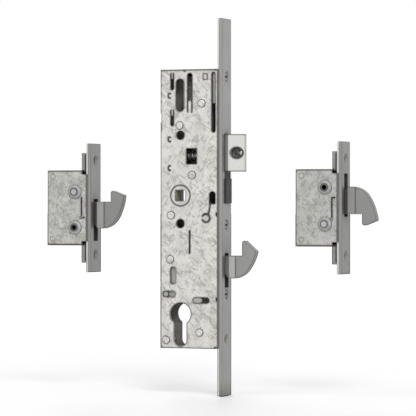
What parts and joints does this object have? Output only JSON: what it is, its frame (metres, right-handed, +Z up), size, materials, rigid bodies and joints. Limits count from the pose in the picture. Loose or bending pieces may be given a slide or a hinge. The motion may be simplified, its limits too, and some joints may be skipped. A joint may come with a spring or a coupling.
{
  "type": "multipoint door lock",
  "caption": "Multipoint door lock gearbox with spring latch, swinging hook bolts, spindle hub and euro cylinder cutout, with an upper and a lower hook case.",
  "frame": {"origin": "spindle axis at the middle of the gearbox thickness", "axes": "+X out of the faceplate front, +Y away from the cover, +Z up the door"},
  "size_m": [0.27, 0.0217, 0.292],
  "materials": {
    "galvanised": "galvanised",
    "passivated": "passivated",
    "dark_plastic": "matte",
    "bright_nickel": "polished",
    "satin_faceplate": "satin",
    "pale_zinc": "zinc plated",
    "hook_steel": "satin",
    "plain_steel": "plain"
  },
  "bodies": {
    "lock_frame": {"centre_faceplate": "satin_faceplate", "gearbox_case": "galvanised", "gearbox_cover": "galvanised", "gearbox_rivets": "plain_steel", "latch_guide": "plain_steel", "latch_insert": "dark_plastic", "centre_hook_pivot": "plain_steel", "centre_screws": "plain_steel", "centre_spacers": "plain_steel", "carriage_spring": "pale_zinc", "latch_spring": "pale_zinc", "upper_faceplate": "satin_faceplate", "upper_case": "passivated", "upper_cover": "galvanised", "upper_hook_pivot": "plain_steel", "upper_threaded_boss": "plain_steel", "upper_clips": "plain_steel", "upper_spacers": "plain_steel", "upper_rivets": "plain_steel", "lower_faceplate": "satin_faceplate", "lower_case": "passivated", "lower_cover": "galvanised", "lower_hook_pivot": "plain_steel", "lower_threaded_boss": "plain_steel", "lower_clips": "plain_steel", "lower_spacers": "plain_steel", "lower_rivets": "plain_steel"},
    "hub": {"spindle_hub": "plain_steel"},
    "centre_drive": {"centre_drive_rail": "pale_zinc", "drive_carriage": "plain_steel"},
    "latch": {"latch_bolt": "bright_nickel"},
    "centre_hook_body": {"centre_hook": "hook_steel"},
    "deadlock": {"deadlock_slide": "pale_zinc"},
    "upper_drive": {"upper_drive_rail": "pale_zinc", "upper_cam_plate": "plain_steel"},
    "upper_hook_body": {"upper_hook": "hook_steel"},
    "lower_drive": {"lower_drive_rail": "pale_zinc", "lower_cam_plate": "plain_steel"},
    "lower_hook_body": {"lower_hook": "hook_steel"}
  },
  "joints": [
    {"name": "handle_turn", "type": "hinge", "parent": "lock_frame", "child": "hub", "pos_m": [0, 0, 0], "axis": [0, 1, 0], "range_deg": [0, 45], "stiffness_Nm_per_rad": 1.2, "springref_deg": -17.19},
    {"name": "centre_rail_slide", "type": "slide", "parent": "lock_frame", "child": "centre_drive", "axis": [0, 0, -1], "range_m": [0, 0.01876], "deforming": ["carriage_spring"]},
    {"name": "latch_slide", "type": "slide", "parent": "lock_frame", "child": "latch", "axis": [-1, 0, 0], "range_m": [0, 0.01451], "deforming": ["latch_spring"]},
    {"name": "centre_hook_swing", "type": "hinge", "parent": "lock_frame", "child": "centre_hook_body", "pos_m": [0.0255, 0, -0.036], "axis": [0, 1, 0], "range_deg": [0, 68.01]},
    {"name": "deadlock_slide_way", "type": "slide", "parent": "lock_frame", "child": "deadlock", "axis": [1, 0, 0], "range_m": [0, 0.0055]},
    {"name": "upper_rail_slide", "type": "slide", "parent": "lock_frame", "child": "upper_drive", "axis": [0, 0, -1], "range_m": [0, 0.01876]},
    {"name": "upper_hook_swing", "type": "hinge", "parent": "lock_frame", "child": "upper_hook_body", "pos_m": [-0.089, 0, 0.003], "axis": [0, 1, 0], "range_deg": [0, 68.01]},
    {"name": "lower_rail_slide", "type": "slide", "parent": "lock_frame", "child": "lower_drive", "axis": [0, 0, 1], "range_m": [0, 0.01876]},
    {"name": "lower_hook_swing", "type": "hinge", "parent": "lock_frame", "child": "lower_hook_body", "pos_m": [0.118, 0, -0.022], "axis": [0, -1, 0], "range_deg": [0, 68.01]}
  ],
  "couplings": [
    {"joint": "centre_rail_slide", "follows": "handle_turn", "m_per_rad": 0.023875},
    {"joint": "upper_rail_slide", "follows": "handle_turn", "m_per_rad": 0.023875},
    {"joint": "lower_rail_slide", "follows": "handle_turn", "m_per_rad": 0.023875},
    {"joint": "latch_slide", "follows": "handle_turn", "m_per_rad": 0.018462},
    {"joint": "centre_hook_swing", "follows": "handle_turn", "ratio": 1.5111},
    {"joint": "upper_hook_swing", "follows": "handle_turn", "ratio": 1.5111},
    {"joint": "lower_hook_swing", "follows": "handle_turn", "ratio": 1.5111}
  ]
}
